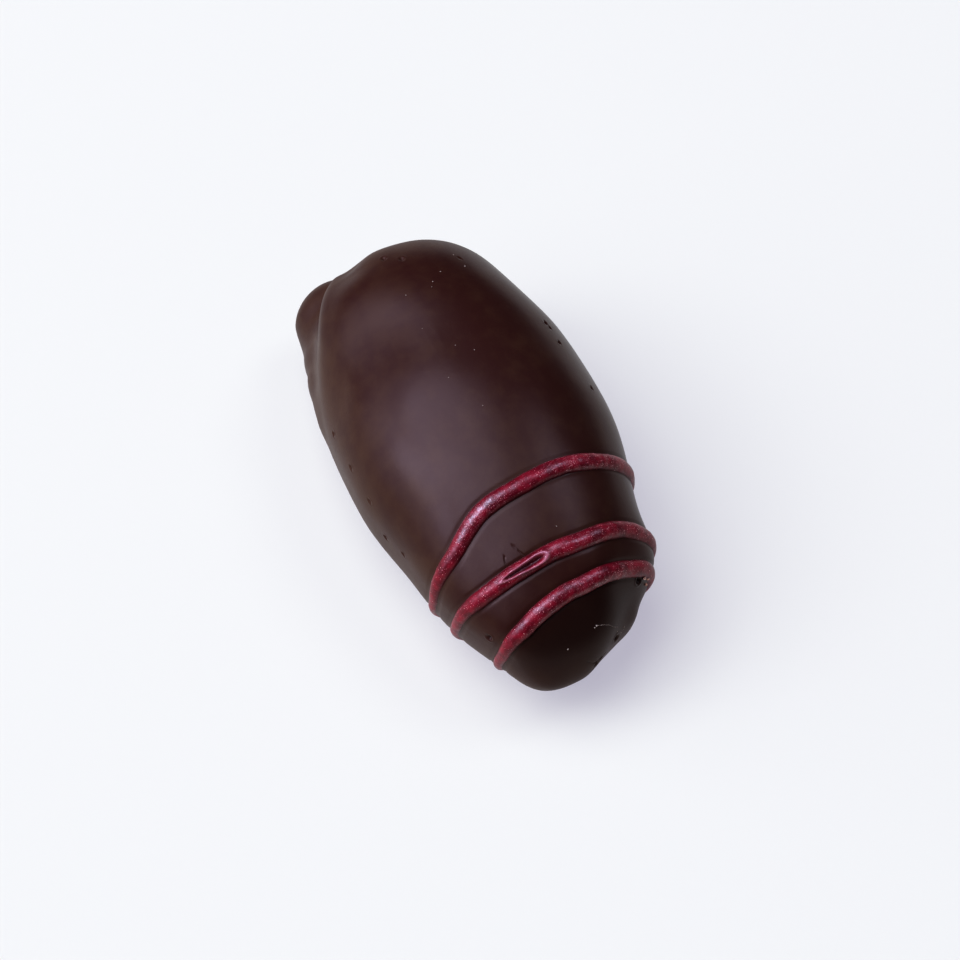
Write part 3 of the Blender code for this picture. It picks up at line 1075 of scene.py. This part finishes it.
class DATE_OT_make_coat(bpy.types.Operator):
    """Make the chocolate coat over the date, with its pits and cracks"""

    bl_idname = "date.make_coat"
    bl_label = "Make coat"

    def execute(self, context):
        choice = chosen("coat")
        place = placing()
        form, points = KEPT["shell"]
        for vertex, point in zip(form.verts, place(points)):
            vertex.co = point
        bmesh.ops.recalc_face_normals(form, faces=form.faces[:])
        piece = link(bpy.data.objects.new("date_coat", bpy.data.meshes.new("date_coat")))
        form.to_mesh(piece.data)
        form.free()

        turns, along, sizes = np.array(PITS, float).T
        pits = mesh_object("pits", place(on_coat(turns, along)), numbers={"size": sizes * MM})
        cracks = [place(smooth_path(crack, CRACK_POINTS)) for crack in CRACKS]
        cracks = join_paths("cracks", cracks)
        lines = join_paths("line_paths", [place(line_path(name)[0]) for name in LINES])
        skin_tree().run(piece, {
            "Ripple Height": choice.ripple_height,
            "Ripple Size": choice.ripple_size,
            "Pits": pits,
            "Pit Depth": choice.pit_depth,
            "Cracks": cracks,
            "Crack Depth": choice.crack_depth,
            "Crack Width": choice.crack_width,
            "Line Paths": lines,
            "Groove Depth": choice.groove_depth,
            "Groove Width": choice.groove_width,
            "Line Half Width": chosen("icing").line_radius,
            "Material": chocolate_finish(choice),
        })
        remove(pits, cracks, lines)
        ride(piece)
        return {"FINISHED"}


# ---------------------------------------------------------------- piping the lines

# The size of the icing's uneven swells, and how far they move the edges of the bubble
# and of the foot, where the icing thins and is darkened with painted shade.
SWELL_SIZE = 1.9 * MM
BUBBLE_WOBBLE = 0.2
FOOT_WOBBLE = 0.3

# The bubble's width at its middle, and how much wider it is at its end and narrower at
# its start. Then where its trough's wall stands, and the middle and spread of its rim.
BUBBLE_MIDDLE_WIDTH = 0.72
BUBBLE_WIDENING = 0.30
TROUGH_WALL = (0.4, 0.85)
RIM_MIDDLE = 1.05
RIM_SPREAD = 0.32

# How far the icing faces out of the coat, from 0 on a line's sides to 1 along its top,
# where the bubble fades in and where the foot, which thins and carries painted shade, fades out.
BUBBLE_FACING = (0.0, 0.3)
FOOT_FACING = (0.1, 0.9)


def icing_tree():
    """Pipes a line of icing along a path: a round section sunk in the coat, a little
    uneven, rounded at both ends, and burst where its place along the bubble is near 0."""
    tree = GeometryTree("piped_line", {
        "Radius": "Float",
        "Flatness": "Float",
        "Sides": "Int",
        "Unevenness": "Float",
        "Bubble Depth": "Float",
        "Bubble Width": "Float",
        "Rim Height": "Float",
        "Seed": "Float",
        "Material": "Material",
    })
    curve = tree.add("GeometryNodeMeshToCurve", {}, {"Mesh": tree.input("Geometry")})
    inputs = {"Curve": curve, "Normal": tree.number("outward", "FLOAT_VECTOR")}
    curve = tree.add("GeometryNodeSetCurveNormal", {"mode": "FREE"}, inputs)
    inputs = {"Resolution": tree.input("Sides"), "Radius": tree.input("Radius")}
    ring = tree.add("GeometryNodeCurvePrimitiveCircle", {}, inputs)
    angle = tree.add("GeometryNodeSplineParameter", {}, {}, "Factor") * (2 * math.pi)
    ring = tree.stored(ring, "angle", angle)
    inputs = {"Geometry": ring, "Scale": tree.vector(tree.input("Flatness"), 1.0, 1.0)}
    inputs = {
        "Curve": curve,
        "Profile Curve": tree.add("GeometryNodeTransform", {}, inputs),
        "Scale": tree.number("taper"),
        "Fill Caps": False,
    }
    tube = tree.add("GeometryNodeCurveToMesh", {}, inputs)

    place = tree.add("GeometryNodeInputPosition")
    normal = tree.add("GeometryNodeInputNormal")
    across = tree.math("SINE", tree.number("angle")) * tree.input("Radius")
    up = tree.math("COSINE", tree.number("angle"))
    settings = {"noise_dimensions": "4D"}
    inputs = {
        "Vector": place,
        "W": tree.input("Seed"),
        "Scale": 1.0 / SWELL_SIZE,
        "Detail": 2.0,
    }
    swell = (tree.add("ShaderNodeTexNoise", settings, inputs) - 0.5) * 2.0
    rise = swell * tree.input("Unevenness") * tree.number("taper")

    along = tree.number("bubble")
    width = tree.input("Bubble Width") * (BUBBLE_MIDDLE_WIDTH + BUBBLE_WIDENING * along)
    sideways = across / width
    level = tree.math("SQRT", along * along * along * along + sideways * sideways)
    level = level + BUBBLE_WOBBLE * swell
    facing_out = tree.between(up, 0.0, 1.0, *BUBBLE_FACING)
    trough = tree.between(level, 1.0, 0.0, *TROUGH_WALL) * facing_out
    from_rim = tree.math("ABSOLUTE", level - RIM_MIDDLE)
    rim = tree.between(from_rim, 1.0, 0.0, 0.0, RIM_SPREAD) * facing_out
    rise = rise - trough * tree.input("Bubble Depth") + rim * tree.input("Rim Height")
    # The foot, which the icing's finish darkens, partly as painted shade.
    foot = tree.between(up + FOOT_WOBBLE * swell, 1.0, 0.0, *FOOT_FACING)
    for name, value in {"rim": rim, "trough": trough, "foot": foot}.items():
        tube = tree.stored(tube, name, value)
    tree.finish(tree.raised(tube, normal, rise))
    return tree


class DATE_OT_pipe_lines(bpy.types.Operator):
    """Pipe the three lines of red icing over the tail"""

    bl_idname = "date.pipe_lines"
    bl_label = "Pipe lines"

    def execute(self, context):
        choice = chosen("icing")
        place = placing()
        tree = icing_tree()
        finish = icing_finish(choice)
        for number, name in enumerate(LINES):
            points, turns = line_path(name)
            outward = slope(points)
            depth = choice.sink * through(LINE_TURNS, LINE_SINKS, turns)
            points = place(points - outward * depth[:, None])
            steps = np.linalg.norm(np.diff(points, axis=0), axis=1)
            run = np.concatenate([[0.0], np.cumsum(steps)])
            to_end = np.minimum(run, run[-1] - run)
            taper = np.sqrt(1 - np.clip(1 - to_end / (LINE_END * MM), 0, 1) ** 2)
            taper *= through(LINE_TURNS, LINE_WIDTHS, turns)
            bubble = np.full(len(points), BEYOND_BUBBLE)
            if name == BUBBLE_LINE:
                middle = np.mean(BUBBLE_TURNS)
                bubble = (turns - middle) / (BUBBLE_TURNS[1] - middle)
            numbers = {
                "outward": outward,
                "taper": np.maximum(taper, LEAST_TAPER),
                "bubble": bubble,
                "dusting": through(LINE_TURNS, DUSTING[name], turns),
            }
            piece = mesh_object(name, points, chain(len(points)), numbers=numbers)
            tree.run(piece, {
                "Radius": choice.line_radius,
                "Flatness": choice.flatness,
                "Sides": LINE_RING,
                "Unevenness": choice.unevenness,
                "Bubble Depth": choice.bubble_depth,
                "Bubble Width": choice.bubble_width,
                "Rim Height": choice.rim_height,
                "Seed": float(number),
                "Material": finish,
            })
            close_mesh(piece)
            ride(piece)
            KEPT[name] = piece
        return {"FINISHED"}


# ---------------------------------------------------------------- dusting the lines

# How densely the flakes lie everywhere and where the icing is dusted, how densely on its
# sides against its top, and between which two ways of facing up that changes.
FLAKES_EVERYWHERE = 0.6
FLAKES_WHERE_DUSTED = 1.4
FLAKES_ON_SIDES = 0.15
SIDES_TO_TOP = (0.15, 0.75)

# A flake's corners, its thickness, and the smallest one's width, against the largest.
FLAKE_CORNERS = 6
FLAKE_THICKNESS = 0.12
SMALLEST_FLAKE = 0.35


def flake_tree():
    """Scatters small thin flakes over the icing, most of them where it is dusted."""
    tree = GeometryTree("pearl_flakes", {
        "Icing": "Object",
        "Density": "Float",
        "Size": "Float",
        "Tilt": "Float",
        "Seed": "Int",
        "Material": "Material",
    })
    facing_up = tree.part(tree.add("GeometryNodeInputNormal"), "Z")
    exposed = tree.between(facing_up, FLAKES_ON_SIDES, 1.0, *SIDES_TO_TOP)
    dusted = FLAKES_EVERYWHERE + FLAKES_WHERE_DUSTED * tree.number("dusting")
    inputs = {
        "Mesh": tree.points_of("Icing"),
        "Density": tree.input("Density") * dusted * exposed,
        "Seed": tree.input("Seed"),
    }
    points = tree.add("GeometryNodeDistributePointsOnFaces", {}, inputs, "Points")
    facing = Value(tree, points.socket.node.outputs["Rotation"])
    inputs = {
        "Vertices": FLAKE_CORNERS,
        "Side Segments": 1,
        "Fill Segments": 1,
        "Radius": 0.5,
        "Depth": FLAKE_THICKNESS,
    }
    flake = tree.add("GeometryNodeMeshCylinder", {"fill_type": "TRIANGLE_FAN"}, inputs, "Mesh")
    most = tree.input("Tilt")
    low = tree.vector(-1.0 * most, -1.0 * most, 0.0)
    high = tree.vector(most, most, 2 * math.pi)
    inputs = {"Euler": tree.random_vector(low, high, 1)}
    tilt = tree.add("FunctionNodeEulerToRotation", {}, inputs)
    inputs = {"Rotation": facing, "Rotate By": tilt}
    turn = tree.add("FunctionNodeRotateRotation", {"rotation_space": "LOCAL"}, inputs)
    inputs = {2: 0.0, 3: 1.0, "Seed": 2}
    size = tree.add("FunctionNodeRandomValue", {"data_type": "FLOAT"}, inputs, 1)
    share = SMALLEST_FLAKE + (1.0 - SMALLEST_FLAKE) * size * size
    tree.finish(tree.instances(points, flake, turn, tree.input("Size") * share))
    return tree


class DATE_OT_dust_lines(bpy.types.Operator):
    """Dust the piped lines with pearl flakes"""

    bl_idname = "date.dust_lines"
    bl_label = "Dust lines"

    def execute(self, context):
        choice = chosen("dust")
        tree = flake_tree()
        finish = grain_finish("pearl_dust", choice.pearl, choice.rose, metallic=0.9, roughness=0.3)
        for number, name in enumerate(LINES):
            piece = mesh_object("flakes_on_" + name, [(0.0, 0.0, 0.0)])
            tree.run(piece, {
                "Icing": KEPT[name],
                "Density": choice.flake_density / MM**2,
                "Size": choice.flake_size,
                "Tilt": choice.flake_tilt,
                "Seed": choice.seed + number,
                "Material": finish,
            })
            ride(piece)
        return {"FINISHED"}


# ---------------------------------------------------------------- marking the coat

# The smallest and the largest shape of a grain, against its size.
GRAIN_SHAPES = ((0.6, 0.7, 0.8), (1.0, 1.1, 1.3))


def grain_tree():
    """Puts a small uneven grain on each point, as large as the point's own size."""
    tree = GeometryTree("grains", {"Seed": "Int", "Material": "Material"})
    points = tree.add("GeometryNodeMeshToPoints", {}, {"Mesh": tree.input("Geometry")})
    inputs = {"Radius": 0.5, "Subdivisions": 2}
    grain = tree.add("GeometryNodeMeshIcoSphere", {}, inputs, "Mesh")
    seed = tree.input("Seed")
    turn = tree.random_vector((0.0, 0.0, 0.0), (2 * math.pi,) * 3, seed)
    turn = tree.add("FunctionNodeEulerToRotation", {}, {"Euler": turn})
    shape = tree.random_vector(*GRAIN_SHAPES, seed + 1)
    tree.finish(tree.instances(points, grain, turn, tree.scaled(shape, tree.number("size"))))
    return tree


class DATE_OT_mark_coat(bpy.types.Operator):
    """Put the pale specks, the fine scratch and the crumbs on the coat"""

    bl_idname = "date.mark_coat"
    bl_label = "Mark coat"

    def execute(self, context):
        choice = chosen("marks")
        place = placing()
        tree = grain_tree()
        turns, along, sizes = np.array(SPECKS, float).T
        scratch = smooth_path(SCRATCH, choice.scratch_grains)
        width = np.full(len(scratch), choice.scratch_width)
        points = np.concatenate([on_coat(turns, along), scratch])
        sizes = np.concatenate([choice.speck_size * sizes * MM, width])
        points = points - slope(points) * (SPECK_SINK * sizes / MM)[:, None]
        finish = grain_finish("bloom", choice.bloom, choice.dusty, metallic=0.0, roughness=0.6)
        self.grains(tree, "specks", place(points), sizes, finish)
        turns, along, sizes = np.array(CRUMBS, float).T
        points = on_coat(turns, along)
        points = points + slope(points) * CRUMB_RISE
        finish = grain_finish("crumb", choice.crumb, choice.crumb_edge, metallic=0.0, roughness=0.5)
        self.grains(tree, "crumbs", place(points), sizes * MM, finish)
        return {"FINISHED"}

    def grains(self, tree, name, points, sizes, finish):
        piece = mesh_object(name, points, numbers={"size": sizes})
        tree.run(piece, {"Seed": chosen("marks").seed, "Material": finish})
        ride(piece)


# ---------------------------------------------------------------- setting the stage

# The camera's heading and its rise above the floor, in degrees, and the place that it
# looks at, in millimetres.
CAMERA_TURN = 67.78
CAMERA_RISE = 57.0
CAMERA_AIM = (2.345, -0.86, 7.82)

# The round lights. Each one's turn from the camera's heading to the right, its rise, and
# half the angle that it fills as the date sees it, all in degrees.
LIGHTS = {
    "wide_light": (-96.0, 35.8, 34.9),
    "window_light": (-98.0, 37.8, 13.0),
    "top_light": (-74.0, 70.4, 24.5),
    "side_light": (66.0, 57.0, 12.1),
}

# How far off the lights are, and how far the floor reaches on every side, in metres.
LIGHT_DISTANCE = 2.0
FLOOR_REACH = 3.0


def aim(obj, place, target):
    """Puts an object at a place, looking at a target, with the world's up kept up."""
    obj.location = place
    obj.rotation_euler = (Vector(target) - Vector(place)).to_track_quat("-Z", "Y").to_euler()


def toward(turn, rise):
    """The direction at a turn from the camera's heading and a rise above the floor."""
    heading = math.radians(CAMERA_TURN)
    right = Vector((math.cos(heading), math.sin(heading), 0.0))
    ahead = Vector((-math.sin(heading), math.cos(heading), 0.0))
    turn, rise = math.radians(turn), math.radians(rise)
    level = right * math.sin(turn) + ahead * math.cos(turn)
    return level * math.cos(rise) + Vector((0.0, 0.0, math.sin(rise)))


def soft_light(name, place, brightness, colour):
    """A round, soft area light aimed at the date. It looks equally bright at any size."""
    turn, rise, half_angle = place
    radius = LIGHT_DISTANCE * math.tan(math.radians(half_angle))
    light = bpy.data.lights.new(name, "AREA")
    light.shape = "DISK"
    light.size = 2 * radius
    light.color = colour
    light.energy = brightness * math.pi**2 * radius**2
    middle = Vector((0.0, 0.0, WIDEST_HEIGHT * MM))
    place = middle + toward(turn, rise) * LIGHT_DISTANCE
    aim(link(bpy.data.objects.new(name, light)), place, middle)


class DATE_OT_set_stage(bpy.types.Operator):
    """Set the pale floor, the soft lights and the camera"""

    bl_idname = "date.set_stage"
    bl_label = "Set stage"

    def execute(self, context):
        choice = chosen("stage")
        scene = context.scene
        signs = ((-1, -1), (1, -1), (1, 1), (-1, 1))
        corners = [(x * FLOOR_REACH, y * FLOOR_REACH, 0.0) for x, y in signs]
        floor = mesh_object("floor", corners, faces=[(0, 1, 2, 3)])
        floor.data.materials.append(floor_finish(choice))
        floor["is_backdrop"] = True
        for name, light in LIGHTS.items():
            soft_light(name, light, getattr(choice, name), choice.light_colour)
        scene.world = bpy.data.worlds.new("dark_room")
        scene.world.color = (0.0, 0.0, 0.0)
        scene.view_settings.view_transform = "Standard"
        scene.view_settings.gamma = 1 / choice.contrast
        camera = bpy.data.cameras.new("camera")
        camera.lens = choice.lens
        camera.sensor_width = 36.0
        camera.clip_start = 0.01
        view = link(bpy.data.objects.new("camera", camera))
        back = toward(180.0, CAMERA_RISE)
        target = Vector(CAMERA_AIM) * MM
        aim(view, target + back * choice.camera_distance, target)
        scene.camera = view
        return {"FINISHED"}


# ---------------------------------------------------------------- the add-on


class DATE_PT_sidebar(bpy.types.Panel):
    """The steps that make the date, and their sizes and colours"""

    bl_idname = "DATE_PT_sidebar"
    bl_label = "Chocolate-covered date"
    bl_space_type = "VIEW_3D"
    bl_region_type = "UI"
    bl_category = "Date"

    def draw(self, context):
        for operator, group in STEPS:
            box = self.layout.box()
            box.operator(operator)
            choice = chosen(group)
            for name in choice.__annotations__:
                box.prop(choice, name)


STEPS = (
    ("date.make_coat", "coat"),
    ("date.pipe_lines", "icing"),
    ("date.dust_lines", "dust"),
    ("date.mark_coat", "marks"),
    ("date.set_stage", "stage"),
)
GROUPS = {
    "coat": DATE_PG_coat,
    "icing": DATE_PG_icing,
    "dust": DATE_PG_dust,
    "marks": DATE_PG_marks,
    "stage": DATE_PG_stage,
}
CLASSES = (
    *GROUPS.values(),
    DATE_OT_make_coat,
    DATE_OT_pipe_lines,
    DATE_OT_dust_lines,
    DATE_OT_mark_coat,
    DATE_OT_set_stage,
    DATE_PT_sidebar,
)


def register():
    for cls in CLASSES:
        bpy.utils.register_class(cls)
    for name, group in GROUPS.items():
        setattr(bpy.types.Scene, "date_" + name, bpy.props.PointerProperty(type=group))


def unregister():
    for name in GROUPS:
        delattr(bpy.types.Scene, "date_" + name)
    for cls in reversed(CLASSES):
        bpy.utils.unregister_class(cls)


def main():
    register()
    bpy.ops.date.make_coat()
    bpy.ops.date.pipe_lines()
    bpy.ops.date.dust_lines()
    bpy.ops.date.mark_coat()
    bpy.ops.date.set_stage()
    boxes = {"cad": CAD_BOX, "visual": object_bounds()}
    boxes = {name: [list(map(float, corner)) for corner in box] for name, box in boxes.items()}


if __name__ == "__main__":
    main()
